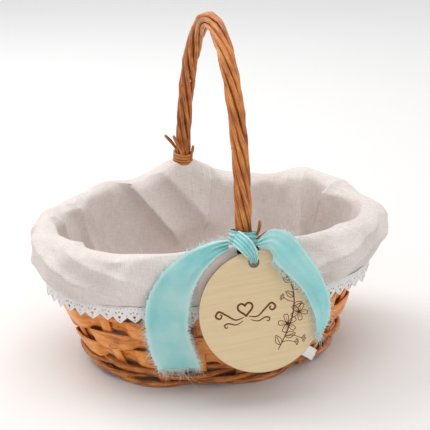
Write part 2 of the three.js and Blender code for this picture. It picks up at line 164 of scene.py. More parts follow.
wall = dict(footHalfLength=106, footHalfWidth=81.5, rimHalfLength=144.5, rimHalfWidth=91.5,
            height=118, flareCurve=1.7, fullness=0.02)
upright = dict(count=18, width=9, thickness=2.4, missing=(4, 13))  # none behind the handle's legs
weaver = dict(rows=6, height=13.2, thickness=2.2, pitch=14.6, footTop=19.2)
footRod = dict(count=4, radius=2.2, pitch=4.8, sway=4.36)
sway = upright["thickness"] / 2 + weaver["thickness"] / 2 + 0.4  # from the wall's middle to a weaver's


def wallPoint(angle, z, offset=0.0):
    # An oval whose half axes grow with height by 1 - (1 - z/height)^curve, a little fuller than an
    # ellipse, moved by offset along its outward normal.
    angle, z, offset = np.broadcast_arrays(np.asarray(angle, float), z, offset)
    climb = 1 - (1 - np.clip(z / wall["height"], 0, 1)) ** wall["flareCurve"]
    a = wall["footHalfLength"] + climb * (wall["rimHalfLength"] - wall["footHalfLength"])
    b = wall["footHalfWidth"] + climb * (wall["rimHalfWidth"] - wall["footHalfWidth"])

    def oval(t):
        full = 1 + wall["fullness"] * np.sin(2 * t) ** 2
        return np.stack([a * np.cos(t) * full, b * np.sin(t) * full], axis=-1)

    run = unit(oval(angle + 1e-3) - oval(angle - 1e-3))
    flat = oval(angle) + np.stack([run[..., 1], -run[..., 0]], axis=-1) * offset[..., None]
    return np.concatenate([flat, z[..., None]], axis=-1)


fine = np.linspace(0, 2 * pi, 1441)
fineLengths = lengthsAlong(wallPoint(fine, wall["height"] / 2))


def wallFrame(angle, z, offset):
    # A point at an offset from the wall, and the outward direction there.
    at = wallPoint(angle, z, offset)
    return at, unit(wallPoint(angle, z, offset + 1.0) - at)


def evenAngle(share):
    # The angle at a share of the way round the wall, counted from the +X end.
    return np.interp(np.asarray(share) % 1, fineLengths / fineLengths[-1], fine) + 2 * pi * np.floor(share)


def colour(*rgb):
    # An everyday 0 to 255 colour as the linear colour that a node takes.
    c = np.array(rgb) / 255
    return (*np.where(c <= 0.04045, c / 12.92, ((c + 0.055) / 1.055) ** 2.4), 1.0)


class Wire:
    # A socket with arithmetic: each operator adds a Math node.
    def __init__(self, paint, socket):
        self.paint, self.socket = paint, socket

    def __add__(self, other): return self.paint.maths("ADD", self, other)
    def __radd__(self, other): return self.paint.maths("ADD", other, self)
    def __sub__(self, other): return self.paint.maths("SUBTRACT", self, other)
    def __rsub__(self, other): return self.paint.maths("SUBTRACT", other, self)
    def __mul__(self, other): return self.paint.maths("MULTIPLY", self, other)
    def __rmul__(self, other): return self.paint.maths("MULTIPLY", other, self)
    def __truediv__(self, other): return self.paint.maths("DIVIDE", self, other)


class Paint:
    # A material: settings are uniform values on the shader's own sockets, and add makes any node.
    def __init__(self, name, **shader):
        self.material = bpy.data.materials.new(name)
        self.material.use_nodes = True
        self.tree = self.material.node_tree
        self.shader = self.tree.nodes["Principled BSDF"]
        for socket, value in shader.items():
            self.shader.inputs[socket.replace("_", " ")].default_value = value

    def add(self, kind, settings=None, inputs=None):
        made = self.tree.nodes.new("ShaderNode" + kind)
        for key, value in (settings or {}).items():
            if key == "stops":
                ramp = made.color_ramp.elements
                while len(ramp) < len(value):
                    ramp.new(0.5)
                for stop, (at, shade) in zip(ramp, value):
                    stop.position, stop.color = at, shade
            else:
                setattr(made, key, value)
        for key, value in (inputs or {}).items():
            self.feed(made.inputs[key], value)
        return made

    def feed(self, socket, value):
        if isinstance(value, Wire):
            self.tree.links.new(value.socket, socket)
        else:
            socket.default_value = value

    def wire(self, made, output=0):
        return Wire(self, made.outputs[output])

    def maths(self, operation, a, b=0.0):
        return self.wire(self.add("Math", {"operation": operation}, {0: a, 1: b}))

    def mix(self, share, a, b):
        return self.wire(self.add("Mix", {"data_type": "RGBA"}, {0: share, 6: a, 7: b}), 2)

    def ramp(self, value, *stops):
        return self.wire(self.add("ValToRGB", {"stops": stops}, {0: value}))

    def spread(self, value, low, high, toLow=0.0, toHigh=1.0):
        made = self.add("MapRange", {"interpolation_type": "SMOOTHSTEP"},
                        {0: value, 1: low, 2: high, 3: toLow, 4: toHigh})
        return self.wire(made)

    def uv(self, sizeX=1.0, sizeY=1.0):
        # The piece's own cloth or grain coordinates, stretched.
        at = self.wire(self.add("UVMap", {"uv_map": "cloth"}))
        return self.wire(self.add("Mapping", None, {0: at, 3: (sizeX, sizeY, 1)}))

    def uvParts(self, layer="cloth"):
        parts = self.add("SeparateXYZ", None, {0: self.wire(self.add("UVMap", {"uv_map": layer}))})
        return self.wire(parts, 0), self.wire(parts, 1)

    def objectAt(self, size=(1, 1, 1)):
        at = self.wire(self.add("TexCoord"), 3)
        return self.wire(self.add("Mapping", None, {0: at, 3: size}))

    def noise(self, at, scale, detail=3.0, rough=0.55):
        return self.wire(self.add("TexNoise", None, {"Vector": at, "Scale": scale, "Detail": detail,
                                                     "Roughness": rough}))

    def finish(self, base, rough=None, height=None, relief=0.3, depth=0.0004, alpha=None):
        self.feed(self.shader.inputs["Base Color"], base)
        if rough is not None:
            self.feed(self.shader.inputs["Roughness"], rough)
        if alpha is not None:
            self.feed(self.shader.inputs["Alpha"], alpha)
        if height is not None:
            bump = self.add("Bump", None, {"Strength": relief, "Distance": depth, "Height": height})
            self.feed(self.shader.inputs["Normal"], self.wire(bump))
        return self.material


def varnishedWood(name, dark, middle, light, streak, knots, onUv=True):
    # Varnished grain: noise stretched along the piece, broad shifts of tone, small dark knots.
    p = Paint(name, Roughness=0.42, Coat_Weight=0.25, Coat_Roughness=0.25)
    along = p.uv(0.05, 1.0) if onUv else p.objectAt((60, 60, 900))
    grain = p.noise(along, streak if onUv else 1.0, 5.0, 0.65)
    broad = p.noise(p.objectAt(), 55.0, 2.0)
    tone = p.ramp(grain * 0.7 + broad * 0.3, (0.36, dark), (0.49, middle), (0.63, light))
    spots = p.add("TexVoronoi", None, {"Vector": p.objectAt(), "Scale": knots})
    knot = 1 - p.spread(p.wire(spots), 0.05, 0.13)
    stain = p.spread(p.noise(p.objectAt(), 23.0, 1.0), 0.60, 0.72)
    warm = p.mix(stain * 0.5, tone, colour(196, 104, 38))
    base = p.mix(knot * 0.8, warm, colour(70, 32, 14))
    return p.finish(base, grain * 0.25 + 0.33, grain * 0.8 - knot * 0.5, 0.45, 0.0006)


splintFinish = varnishedWood("honeySplint", colour(158, 82, 26), colour(232, 140, 54),
                             colour(245, 178, 98), 1.1, 95.0)
rodFinish = varnishedWood("willowRod", colour(96, 43, 12), colour(184, 104, 38),
                          colour(226, 154, 78), 1.6, 120.0)
plainSplint = varnishedWood("plainSplint", colour(120, 60, 20), colour(196, 116, 48),
                            colour(222, 152, 80), 1.0, 95.0, onUv=False)


def linenFinish():
    # Crossed threads: one noise stretched each way, with soft clouds of tone.
    p = Paint("offWhiteLinen", Roughness=0.9, Sheen_Weight=0.25, Sheen_Roughness=0.5)
    warp = p.noise(p.uv(0.10, 1.5), 1.0, 4.0, 0.75)
    weft = p.noise(p.uv(1.5, 0.10), 1.0, 4.0, 0.75)
    threads = (warp + weft) * 0.5
    cloudy = p.noise(p.objectAt(), 18.0, 3.0)
    tone = p.ramp(threads * 0.8 + cloudy * 0.2, (0.34, colour(192, 179, 172)),
                  (0.66, colour(238, 230, 226)))
    return p.finish(tone, None, threads, 0.5, 0.0006)


def laceFinish(period, height):
    # White lace: round eyelets in each scallop and a row of small ones above, as gaps in the cloth.
    p = Paint("whiteLace", Roughness=0.85, Sheen_Weight=0.2)
    along, y = p.uvParts()
    x = along / period

    def eyelets(perPeriod, shift, middle, radius):
        across = (p.maths("FRACT", x * perPeriod + shift) - 0.5) * (period / perPeriod)
        up = y - middle
        far = p.maths("SQRT", across * across + up * up)
        return 1 - p.spread(far, radius - 0.12, radius + 0.12)

    holes = eyelets(1, 0.0, 0.33 * height, 1.15) + eyelets(1, 0.22, 0.5 * height, 0.8)
    holes = holes + eyelets(1, 0.78, 0.5 * height, 0.8) + eyelets(1, 0.0, 0.62 * height, 0.6)
    holes = holes + eyelets(4, 0.0, 0.8 * height, 0.4) + eyelets(2, 0.5, 0.16 * height, 0.5)
    clear = p.maths("MINIMUM", holes, 1.0)
    threads = p.noise(p.uv(), 2.2, 3.0, 0.7)
    tone = p.ramp(threads, (0.3, colour(226, 224, 224)), (0.7, colour(250, 249, 248)))
    return p.finish(tone, None, threads - clear * 0.3, 0.6, 0.0008, 1 - clear)


def chiffonFinish(name, light, deep, pale):
    # Thin mint chiffon, paler towards its frayed edges, that lets part of the light through.
    p = Paint(name, Roughness=0.62, Sheen_Weight=0.35, Sheen_Roughness=0.4)
    fromEdge = 1 - p.maths("ABSOLUTE", p.uvParts()[1])
    threads = p.noise(p.uv(0.35, 30.0), 1.0, 3.0, 0.7) * 0.5 + p.noise(p.uv(2.4, 3.0), 1.0, 2.0) * 0.5
    cloudy = p.noise(p.objectAt(), 45.0, 2.0)
    tone = p.ramp(cloudy * 0.6 + threads * 0.4, (0.36, deep), (0.62, light))
    edge = 1 - p.spread(fromEdge + threads * 0.14, 0.08, 0.34)
    base = p.mix(edge * 0.75, tone, pale)
    p.finish(base, None, threads, 0.3, 0.0004)
    glow = p.add("BsdfTranslucent", None, {0: light})
    both = p.add("MixShader", None, {0: 0.25})
    links = p.tree.links
    links.new(p.shader.outputs[0], both.inputs[1])
    links.new(glow.outputs[0], both.inputs[2])
    links.new(both.outputs[0], p.tree.nodes["Material Output"].inputs[0])
    return p.material


def plyFinish():
    # Pale birch face with faint streaks, and an edge browned by the cut.
    p = Paint("birchPly", Roughness=0.58)
    streaks = p.noise(p.uv(0.02, 0.35), 1.0, 4.0, 0.6)
    fleck = p.noise(p.uv(0.4, 2.2), 1.0, 2.0)
    tone = p.ramp(streaks * 0.75 + fleck * 0.25, (0.15, colour(206, 180, 138)),
                  (0.85, colour(226, 205, 168)))
    burnt = p.uvParts("rim")[0]
    base = p.mix(burnt * 0.75, tone, colour(120, 78, 38))
    return p.finish(base, None, streaks, 0.15, 0.0003)


def plainFinish(name, tone, rough, scale=900.0, spreadOf=0.12):
    # A fine mottle between a tone and a slightly darker one.
    p = Paint(name, Roughness=rough)
    grain = p.noise(p.objectAt(), scale, 3.0, 0.6)
    low = tuple(c * (1 - spreadOf) for c in tone[:3]) + (1.0,)
    return p.finish(p.ramp(grain, (0.3, low), (0.7, tone)), None, grain, 0.3, 0.0003)


view = dict(azimuth=-18, elevation=20, distance=900, aimRight=4, aimUp=3, aimHeight=120, lens=84.6,
            worldLight=0.71)


def setCamera():
    # Looks from distance along a direction given by azimuth and elevation, past the aim point.
    az, el = np.radians([view["azimuth"], view["elevation"]])
    back = np.array([np.sin(az) * np.cos(el), -np.cos(az) * np.cos(el), np.sin(el)])
    right = np.array([np.cos(az), np.sin(az), 0])
    up = np.cross(back, right)
    at = np.array([0, 0, view["aimHeight"]]) + right * view["aimRight"] + up * view["aimUp"]
    at = (at + back * view["distance"]) * mm
    camera = bpy.data.objects.new("camera", bpy.data.cameras.new("camera"))
    turned = np.column_stack([right, up, back, at])
    camera.matrix_world = Matrix([*turned.tolist(), (0, 0, 0, 1)])
    camera.data.lens, camera.data.clip_end = view["lens"], 50
    scene.collection.objects.link(camera)
    scene.camera = camera


def addLight(name, at, size, power, tint=(1, 1, 1)):
    # A square lamp that faces the middle of the floor.
    lamp = bpy.data.objects.new(name, bpy.data.lights.new(name, "AREA"))
    lamp.data.size, lamp.data.energy, lamp.data.color = size, power, tint
    lamp.location = at
    lamp.rotation_mode = "QUATERNION"
    lamp.rotation_quaternion = (-Vector(at)).to_track_quat("-Z", "Y")
    scene.collection.objects.link(lamp)


def setStage():
    # A pale floor with painted shade, darker at the front and lighter towards the back, three soft lamps and
    # an even white world.
    floor = bpy.data.meshes.new("floor")
    reach = 6.0  # metres
    corners = [(-reach, -reach, 0), (reach, -reach, 0), (reach, reach, 0), (-reach, reach, 0)]
    floor.from_pydata(corners, [], [(0, 1, 2, 3)])
    p = Paint("paleFloorPaintedShade", Roughness=0.75)
    far = p.wire(p.add("SeparateXYZ", None, {0: p.objectAt()}), 1)
    # painted shade: the floor's colour goes from grey at the front to white at the back, standing in for the
    # light's falloff
    p.finish(p.ramp(p.spread(far, -0.3, 1.6), (0, colour(229, 226, 224)), (1, colour(246, 246, 246))))
    addObject(floor, "floor", p.material)
    addLight("key", (-0.85, 0.75, 1.45), 0.9, 13.5, (1, 0.99, 0.98))
    addLight("front", (0.6, -1.6, 1.3), 1.4, 5, (0.98, 0.99, 1))
    addLight("over", (0.1, 0.0, 1.9), 1.5, 11.5)
    world = bpy.data.worlds.new("studio")
    world.use_nodes = True
    sky = world.node_tree.nodes["Background"].inputs
    sky[0].default_value, sky[1].default_value = (1, 1, 1, 1), view["worldLight"]
    scene.world = world
    scene.view_settings.view_transform = "Standard"


setCamera()
setStage()
print("camera, floor and light set")


def section(halfWide, halfThick, sides, square=0.45):
    # A rounded box as a superellipse: signed powers of cosine and sine.
    t = (np.arange(sides) + 0.5) / sides * 2 * pi
    cos, sin = np.cos(t), np.sin(t)
    return (np.sign(cos) * abs(cos) ** square * halfWide, np.sign(sin) * abs(sin) ** square * halfThick)


def sweep(path, wide, thick, shapeWide, shapeThick):
    # The section carried along a path: each point is path + wide direction * x + thick direction * y.
    return (path[:, None, :] + wide[:, None, :] * np.asarray(shapeWide)[..., None]
            + thick[:, None, :] * np.asarray(shapeThick)[..., None])


def sweepUv(path, sides, closed):
    # Grain coordinates: the distance along the path, and 0 to 7 round the section.
    lengths = lengthsAlong(path)
    if closed:
        lengths = np.append(lengths, lengths[-1] + np.linalg.norm(path[0] - path[-1]))
    return np.meshgrid(lengths, np.linspace(0, 1, sides + 1) * 7, indexing="ij")


def rod(name, path, radius, side, finish, sides, closed=False):
    # A round rod: circles in the plane of side and of the path's direction crossed with it.
    run = np.gradient(path, axis=0) if not closed else np.roll(path, -1, 0) - np.roll(path, 1, 0)
    run = unit(run)
    first = unit(side - (side * run).sum(1, keepdims=True) * run)
    second = np.cross(run, first)
    t = np.arange(sides) / sides * 2 * pi
    radius = np.broadcast_to(radius, len(path))[:, None]
    points = sweep(path, first, second, np.cos(t) * radius, np.sin(t) * radius)
    along, across = sweepUv(path, sides, closed)
    shift = sum(map(ord, name)) % 97  # so that no two rods have the same grain
    return outward(grow(points, name=name, finish=finish, closeRows=closed, closeCols=True,
                        capEnds=not closed, uv=(along + shift * 31, across + shift * 3)))


def weaveRows():
    # Each row sways out over one upright and in behind the next: a flattened cosine of 9 waves.
    steps, sides = 360, 16
    share = np.arange(steps) / steps
    angle = evenAngle(share)
    for row in range(weaver["rows"]):
        phase = np.cos(pi * (upright["count"] * share - 0.5))
        swing = np.tanh(3.2 * phase) / np.tanh(3.2) * (1 if row % 2 else -1)
        middle = weaver["footTop"] + (row + 0.5) * weaver["pitch"]
        middle = middle + 0.5 * ripple(share, 2, 9, 400) + 0.18 * ripple(share, 6, 30, 410 + row)
        half = weaver["height"] / 2 + 0.45 + 1.4 * swing + 0.25 * ripple(share, 5, 26, 420 + row)
        tilt = 0.05 * ripple(share, 6, 24, 430 + row)
        x, y = section(1, 1, sides, 0.5)
        z = middle[:, None] + half[:, None] * x
        crown = 0.35 * (1 - x ** 2) * np.sign(swing[:, None])
        offset = (sway + 0.15) * swing[:, None] + y * weaver["thickness"] / 2 + crown
        offset = offset + tilt[:, None] * half[:, None] * x
        offset = offset + 0.12 * ripple(share, 20, 60, 440 + row)[:, None]
        points = wallPoint(angle[:, None], z, offset)
        uv = sweepUv(wallPoint(angle, middle), sides, True)
        piece = outward(grow(points, name=f"weaverRow{row + 1}", finish=splintFinish, closeRows=True,
                             closeCols=True, uv=(uv[0] + 137 * row, uv[1] * 1.7)))
        finishPiece(piece, "basket", "splint", f"weaver_{row + 1}")


def finishPiece(piece, body, slot, *replaced):
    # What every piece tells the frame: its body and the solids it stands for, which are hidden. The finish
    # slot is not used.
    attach(piece, body)
    if replaced:
        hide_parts(*replaced)


def addUprights():
    # The uprights follow the wall's middle from the foot to the rim.
    steps, sides = 36, 12
    z = np.linspace(1, wall["height"], steps)
    number = 0
    for i in range(upright["count"]):
        if i in upright["missing"]:
            continue
        number += 1
        angle = float(evenAngle((i + 0.5) / upright["count"]))
        middle, out = wallFrame(np.full(steps, angle), z, 0.0)
        side = np.stack([-out[:, 1], out[:, 0], 0 * z], axis=1)
        x, y = section(upright["width"] / 2, upright["thickness"] / 2, sides)
        uv = sweepUv(middle, sides, False)
        piece = grow(sweep(middle, side, out, x, y), name=f"stake{number:02d}", finish=splintFinish,
                     closeCols=True, capEnds=True, uv=(uv[0] + 61 * i, uv[1] * 1.4))
        finishPiece(outward(piece), "basket", "splint", f"stake_{number:02d}")


def addFoot():
    # Each rod passes outside two uprights and inside the third: a third and four thirds of a cosine.
    steps = 540
    share = np.arange(steps) / steps
    angle = evenAngle(share)
    for rodNumber in range(footRod["count"]):
        turn = 2 * pi * (upright["count"] * share - 0.5 + rodNumber) / 3
        wave = -np.cos(turn)
        reach = footRod["sway"]
        offset = reach * (1 / 3 + 4 / 3 * wave)
        offset = np.where(offset > reach, reach + 0.45 * (offset - reach), offset)  # flatter outside
        z = footRod["radius"] + 0.45 + rodNumber * footRod["pitch"]
        z = z + (0.5 if rodNumber else 0.0) * np.sin(turn)  # the lowest lies flat
        radius = footRod["radius"] + 0.3 + 0.12 * ripple(share, 4, 40, 500 + rodNumber)
        path, side = wallFrame(angle, z, offset)
        piece = rod(f"footRod{rodNumber + 1}", path, radius, side, rodFinish, 12, True)
        finishPiece(piece, "basket", "willow", f"foot_rod_{rodNumber + 1}")


addUprights()
weaveRows()
addFoot()
print("splints and foot woven")


handle = dict(halfSpan=88, rise=177, circle=5.15, strands=7, radius=2.0, turns=2.4,
              frontFoot=128, backFoot=148)


def arch(t):
    # Half an ellipse from the front foot, 0, to the back foot, 1, with its run and inward direction.
    angle = np.asarray(t) * pi
    middle = np.stack([0 * angle, -handle["halfSpan"] * np.cos(angle),
                       wall["height"] + handle["rise"] * np.sin(angle)], axis=-1)
    run = unit(np.stack([0 * angle, handle["halfSpan"] * np.sin(angle), handle["rise"] * np.cos(angle)], -1))
    side = np.zeros_like(run) + [1, 0, 0]
    return middle, run, side, np.cross(side, run)


def archAt(z, onBack=False):
    # The parameter of the arch at a height, on its front or back leg.
    t = np.arcsin((z - wall["height"]) / handle["rise"]) / pi
    return 1 - t if onBack else t


def addHandle():
    # Rods twisted round the arch: circles of one radius whose phase turns with the arch's length.
    steps = 170
    t = np.linspace(archAt(handle["frontFoot"]), archAt(handle["backFoot"], True), steps)
    whole = np.linspace(0, 1, 721)
    lengths = lengthsAlong(arch(whole)[0])
    middle, run, side, inward = arch(t)
    share = np.interp(t, whole, lengths / lengths[-1])
    for strand in range(handle["strands"]):
        wobble = 0.10 * ripple(share * 0.5, 2, 9, 600 + strand)
        angle = 2 * pi * (handle["turns"] * share + strand / handle["strands"]) + wobble
        out = inward * np.cos(angle)[:, None] - side * np.sin(angle)[:, None]
        path = middle + out * (handle["circle"] + 0.12 * ripple(share * 0.5, 3, 14, 620 + strand))[:, None]
        radius = handle["radius"] + 0.10 * ripple(share * 0.5, 4, 60, 640 + strand)
        knot = np.random.default_rng(660 + strand).uniform(0.1, 0.9, 3)
        radius = radius + 0.4 * sum(bell(share, at, 0.006) for at in knot)
        piece = rod(f"handleRod{strand + 1}", path, radius, out, rodFinish, 12)
        finishPiece(piece, "basket", "willow", f"handle_strand_{strand + 1}")


binding = dict(turns=4, pitch=2.7, radius=1.32, back=147, front=125)


def addBinding(name, node, bottom, onBack):
    # A thin rod wound round the handle: a helix that climbs about its own thickness each turn.
    turns, pitch, radius = binding["turns"], binding["pitch"], binding["radius"]
    turn = np.linspace(0, turns, turns * 28 + 1)
    middle, run, side, inward = arch(archAt(bottom + pitch * turn, onBack))
    angle = 2 * pi * turn
    out = inward * np.cos(angle)[:, None] + side * np.sin(angle)[:, None]
    reach = handle["circle"] + handle["radius"] + radius * 0.9
    path = middle + out * (reach + 0.15 * ripple(turn / turns, 2, 9, 680))[:, None]
    piece = rod(name, path, radius, out, rodFinish, 10)
    finishPiece(piece, "basket", "willow", node)


def addTwig(name, points, radius):
    # The cut tip of a rod, through its points, with a slight swell.
    path = through(points, 14)
    side = np.zeros_like(path) + [0.2, 1, 0.1]
    taper = radius * (1 + 0.12 * np.cos(np.linspace(0, 9, 14)))
    finishPiece(rod(name, path, taper, side, rodFinish, 8), "basket", "willow")


addHandle()
addBinding("backBinding", "handle_binding_back", binding["back"], True)
addBinding("frontBinding", "handle_binding_front", binding["front"], False)
back = handle["halfSpan"] - 2.5
addTwig("backTip1", [(-3, back, 150), (-6, back, 160), (-11, back + 1, 168), (-17, back + 2, 175)], 1.5)
addTwig("backTip2", [(-1, back - 6, 150), (-4, back - 7, 160), (-8, back - 7, 169), (-11, back - 6, 176)], 1.4)
addTwig("backTip3", [(5, back - 5, 150), (7, back - 7, 159), (8, back - 7, 165)], 1.3)
front = -handle["halfSpan"]
addTwig("frontTip1", [(4, front - 5, 134), (9, front - 7, 139), (11, front - 7, 146),
                      (11, front - 7, 150)], 1.3)
addTwig("frontTip2", [(5, front - 5, 133), (11, front - 7, 136), (16, front - 8, 139),
                      (21, front - 8, 141)], 1.3)
print("handle twisted and bound")


lining = dict(hem=82, backRise=15, backSpread=0.26, gathered=8, thickness=0.9, floor=10.6,
              roundRadius=118)  # millimetres of cloth to a radian


def liningProfile():
    # Offsets from the wall's middle and heights, from the bottom up the inside, over and down.
    stations = [(-9.2, 11), (-8.6, 24), (-7.6, 45), (-7.0, 70), (-6.6, 96), (-6.2, 115), (-4.6, 123.5),
                (-0.4, 126.6), (4.6, 127.2), (8.9, 124.4), (11.6, 117), (12.6, 107), (11.9, 95), (9.6, 83.5),
                (8.9, 82)]
    return through(stations, 104)


creases = [  # on the outside, start and end as angle and height, how proud, reach on either side
    (False, (2.50, 132), (2.34, 50), 9, 4, 12),
    (False, (2.02, 138), (1.72, 84), 17, 2.5, 20),
    (False, (1.74, 142), (1.42, 92), 10, 7, 16),
    (False, (1.38, 142), (1.50, 40), 15, 16, 2.5),
    (False, (1.12, 132), (1.05, 60), 5, 12, 10),
    (False, (0.66, 130), (0.60, 70), 9, 18, 5),
    (False, (0.30, 134), (0.50, 60), 19, 2, 22),
    (False, (2.86, 126), (2.62, 60), 8, 5, 10),
    (False, (2.24, 100), (2.14, 30), 3, 2, 3),
    (False, (2.31, 100), (2.21, 30), 3, 2, 3),
    (False, (3.6, 124), (3.4, 60), 6, 8, 8),
    (False, (5.4, 122), (5.1, 60), 5, 9, 8),
    (True, (3.30, 122), (3.90, 97), 9, 3, 12),
    (True, (3.66, 126), (4.08, 106), 7, 3, 9),
    (True, (3.25, 102), (3.66, 87), 6, 3, 8),
    (True, (5.05, 104), (5.66, 122), 7, 10, 3),
    (True, (5.30, 92), (5.98, 117), 6.5, 9, 3),
    (True, (5.00, 93), (5.34, 102), 4.5, 8, 3),
    (True, (0.25, 92), (-0.15 + 2 * pi, 118), 4, 6, 8),
    (True, (0.7, 100), (0.95, 118), 4, 8, 6),
    (True, (1.9, 96), (2.25, 118), 4, 8, 6),
    (True, (2.6, 92), (2.9, 118), 4, 8, 6),
]


def foldAt(angle, z, start, end, before, after):
    # A ridge along a line on the unrolled wall: it falls off exponentially on either side, each
    # side with its own reach, and fades past both ends.
    def unrolled(to):
        return ((to - start[0] + pi) % (2 * pi) - pi) * lining["roundRadius"]

    alongX, alongZ = unrolled(end[0]), end[1] - start[1]
    size = np.hypot(alongX, alongZ)
    x, y = unrolled(angle), z - start[1]
    along = (x * alongX + y * alongZ) / size
    across = (x * alongZ - y * alongX) / size
    past = np.maximum(0, np.maximum(-along, along - size))
    reach = np.where(across > 0, after, before)
    return np.exp(-np.sqrt(across ** 2 + 0.8) / reach) * np.exp(-(past / 14) ** 2)


def addLining():
    # The profile carried round the wall. Masks over v, from the bottom, 0, to the hem, 1, pick the
    # lip, the fall outside and the inner side, and waves, creases and wrinkles move each of them.
    profile = liningProfile()
    steps = 420
    u = (np.arange(steps) / steps)[:, None]
    angle = evenAngle(u)
    v = np.linspace(0, 1, len(profile))[None, :]
    offset, z = profile[:, 0][None, :] + 0 * u, profile[:, 1][None, :] + 0 * u
    lip = bell(v, 0.58, 0.13)
    fall = plateau(v, 0.60, 0.74, 0.86, 0.99)
    inner = plateau(v, 0.03, 0.2, 0.42, 0.54)
    hemPleats = smoothStep(v, 0.84, 0.99)
    peaks = lining["backRise"] * bell(angle, pi / 2, lining["backSpread"])
    peaks = peaks + 7 * bell(angle, 0.62, 0.22) + 7 * bell(angle, 2.12, 0.24)
    z = z + peaks * plateau(v, 0.25, 0.5, 0.62, 0.85)
    rightEnd = bell(np.cos(angle), 1, 0.25)
    leftEnd = bell(np.cos(angle), -1, 0.2)
    # soft puffs along the lip and the turned-down part, none under the ribbon's tails
    free = 1 - 0.85 * bell(angle, 4.35, 0.38)
    offset = offset + free * lip * (1.6 * ripple(u, 3, 9, 1) + 0.9 * ripple(u, 10, 22, 2))
    z = z + lip * (1.5 * ripple(u, 2, 7, 3) + 0.7 * ripple(u, 9, 20, 4) + 3.0 * rightEnd + leftEnd)
    offset = offset + free * fall * (1.6 * ripple(u, 4, 11, 5) + 0.8 * ripple(u, 12, 26, 6))
    offset = offset + fall * (2.5 * rightEnd + 0.3 * leftEnd) + hemPleats * 0.35 * ripple(u, 30, 70, 7)
    pressed = bell(angle, 4.37, 0.26) * plateau(v, 0.56, 0.62, 0.8, 0.92)
    offset = offset - 1.7 * pressed
    # gathered up to the binding behind the handle's back leg
    gather = bell(angle, pi / 2, 0.15)
    z = z + gather * lining["gathered"] * plateau(v, 0.3, 0.5, 0.6, 0.75)
    offset = offset - 2.2 * gather * plateau(v, 0.3, 0.5, 0.53, 0.57)
    inside, outside = 1 - smoothStep(v, 0.52, 0.62), smoothStep(v, 0.54, 0.64)
    for onOutside, start, end, height, before, after in creases:
        lift = height * foldAt(angle, z, start, end, before, after)
        offset = offset + (lift * outside * free if onOutside else -lift * inside)
        z = z + 0.22 * lift * bell(v, 0.56, 0.07)
    offset = offset - inner * (1.5 + 1.5 * ripple(u, 2, 8, 8) * v)
    offset = offset + (0.4 * inner + 0.5 * fall * free + 0.3 * lip) * wrinkles(u, v, (34, 7), 9)
    z = z + 0.35 * (fall + lip) * wrinkles(u, v, (22, 5), 10)
    points = wallPoint(angle, z, offset)
    points[..., 2] = z
    # slits at the handle's two feet, from the inside of the lip to its outside
    x, y = points[..., 0], points[..., 1]
    slit = (y < 0) & (abs(x) < 8) & (v > 0.47) & (v < 0.66)
    slit |= (y > 0) & (abs(x) < 2.7) & (v > 0.54) & (v < 0.60)
    keep = ~(slit | np.roll(slit, -1, 0))[:, :-1]
    along = np.arange(steps + 1) / steps * 800  # about the girth
    down = lengthsAlong(profile)
    piece = grow(points, name="linenSide", finish=linen, closeRows=True, keep=keep,
                 uv=np.meshgrid(along, down, indexing="ij"))
    piece.data.flip_normals()
    thicken(piece, lining["thickness"], -1.0)
    finishPiece(piece, "basket", "linen", "lining_side")


def addLiningBottom():
    # An oval floor that meets the side: a square grid bent to a disc, x = u sqrt(1 - v^2 / 2) and
    # y = v sqrt(1 - u^2 / 2), then stretched to the wall's oval, with shallow wrinkles.
    u, v = np.meshgrid(np.linspace(-1, 1, 61), np.linspace(-1, 1, 61), indexing="ij")
    x, y = u * np.sqrt(1 - v ** 2 / 2), v * np.sqrt(1 - u ** 2 / 2)
    edge = wallPoint(np.arctan2(y, x), 11.0, -8.9)
    far = np.hypot(x, y)[..., None]
    points = np.concatenate([edge[..., :2] * far, lining["floor"] + 0 * far], axis=-1)
    points[..., 2] += 0.4 * wrinkles(x * 0.5, y * 0.5, (6, 6), 11) * (1 - far[..., 0] ** 6)
    piece = grow(points, name="linenBottom", finish=linen, uv=(points[..., 0], points[..., 1]))
    thicken(piece, lining["thickness"], -1.0)
    finishPiece(piece, "basket", "linen", "lining_bottom")


def addHemStitch():
    # The dark line of stitches where the lace is sewn on: a thin flattened rod round the hem.
    steps = 600
    share = np.arange(steps) / steps
    angle = evenAngle(share)
    z = lining["hem"] + 1.2 + 0.15 * np.sign(np.sin(share * 2 * pi * 190))
    rightEnd = bell(np.cos(angle), 1, 0.25)
    path = wallPoint(angle, z, 10.1 + 0.35 * ripple(share, 30, 70, 7) + 0.2 * rightEnd)
    side = unit(wallPoint(angle, z, 12) - path)
    piece = rod("hemStitch", path, 0.34, side, stitchThread, 6, True)
    finishPiece(piece, "basket", "cotton_lace")


lace = dict(top=83, height=15, scallops=66, scallopWidth=12.0, scallopDepth=5.0, thickness=0.45)


def addLace():
    # A band that hangs from the hem, its lower edge a row of round scallops, with gentle ripples.
    steps, rows = lace["scallops"] * 12, 12
    share = np.arange(steps) / steps
    angle = evenAngle(share)[:, None]
    down = np.linspace(0, 1, rows)[None, :]
    scallop = (1 - abs(2 * ((share * lace["scallops"]) % 1) - 1))[:, None]
    deep = lace["scallopDepth"]
    z = lace["top"] - down * (lace["height"] - deep + deep * scallop ** 0.9)
    hang = wallPoint(angle, z, 0.0) - wallPoint(angle, lace["top"] + 0 * z, 0.0)
    drop = np.linalg.norm(hang[..., :2], axis=-1)
    offset = 9.3 + 0.75 * drop + down * (0.9 * ripple(share, 14, 40, 12)[:, None] + 0.4 * scallop)
    points = wallPoint(angle, z, offset)
    along = np.arange(steps + 1) / steps * lace["scallops"] * lace["scallopWidth"]
    uv = np.meshgrid(along, lace["height"] * (1 - down), indexing="ij")
    finish = laceFinish(lace["scallopWidth"], lace["height"])
    piece = grow(points, name="laceBand", finish=finish, closeRows=True, uv=uv)
    thicken(piece, lace["thickness"])
    finishPiece(piece, "basket", "cotton_lace", "lace_edging")


linen = linenFinish()
stitchThread = plainFinish("greyThread", colour(150, 138, 134), 0.8)
addLining()
addLiningBottom()
addHemStitch()
addLace()
print("lining and lace sewn")


